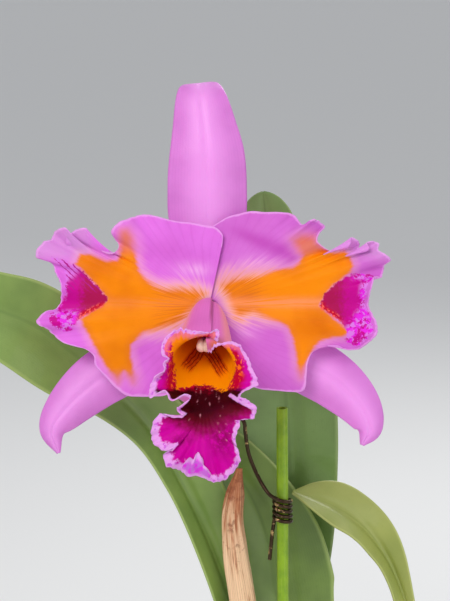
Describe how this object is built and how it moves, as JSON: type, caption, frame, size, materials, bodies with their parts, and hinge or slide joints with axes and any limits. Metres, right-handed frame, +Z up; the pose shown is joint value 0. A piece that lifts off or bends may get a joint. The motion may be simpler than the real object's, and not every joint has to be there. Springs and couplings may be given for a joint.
{
  "type": "potted cattleya orchid",
  "caption": "Potted cattleya orchid with an open ruffled flower, a tubular lip, leathery leaves on spindle-shaped pseudobulbs, and a stake with a wire clip, in a round clay pot.",
  "frame": {"origin": "centre of the pot's flat base, on the surface it stands on", "axes": "+Z up; +X to the viewer's right and -Y towards the viewer whom the flower faces"},
  "size_m": [0.2491, 0.1556, 0.4625],
  "materials": {
    "clay": "matte, unglazed terracotta",
    "bark": "rough, dry",
    "rhizome": "matt brown-green skin with pale roots",
    "pseudobulb": "waxy, furrowed",
    "leaf": "leathery, satin",
    "flower_stem": "smooth, satin",
    "dry_sheath": "dry, papery",
    "sepal": "soft satin, orchid pink",
    "petal": "soft satin, pink with an orange and crimson flare",
    "lip": "velvety crimson to magenta with an orange throat",
    "column": "waxy, cream-pink",
    "stake": "extruded plastic, bright green",
    "support_wire": "dark bronze lacquer"
  },
  "bodies": {
    "root": {"pot": "clay", "bark_filling": "bark", "rhizome": "rhizome", "pseudobulb_1": "pseudobulb", "pseudobulb_2": "pseudobulb", "pseudobulb_3": "pseudobulb", "pseudobulb_4": "pseudobulb", "leaf_left": "leaf", "leaf_back": "leaf", "leaf_centre": "leaf", "leaf_right": "leaf", "flower_stem": "flower_stem", "dry_sheath": "dry_sheath", "dorsal_sepal": "sepal", "lateral_sepal_left": "sepal", "lateral_sepal_right": "sepal", "petal_left": "petal", "petal_right": "petal", "lip": "lip", "column": "column", "stake": "stake", "support_wire": "support_wire"}
  },
  "joints": []
}
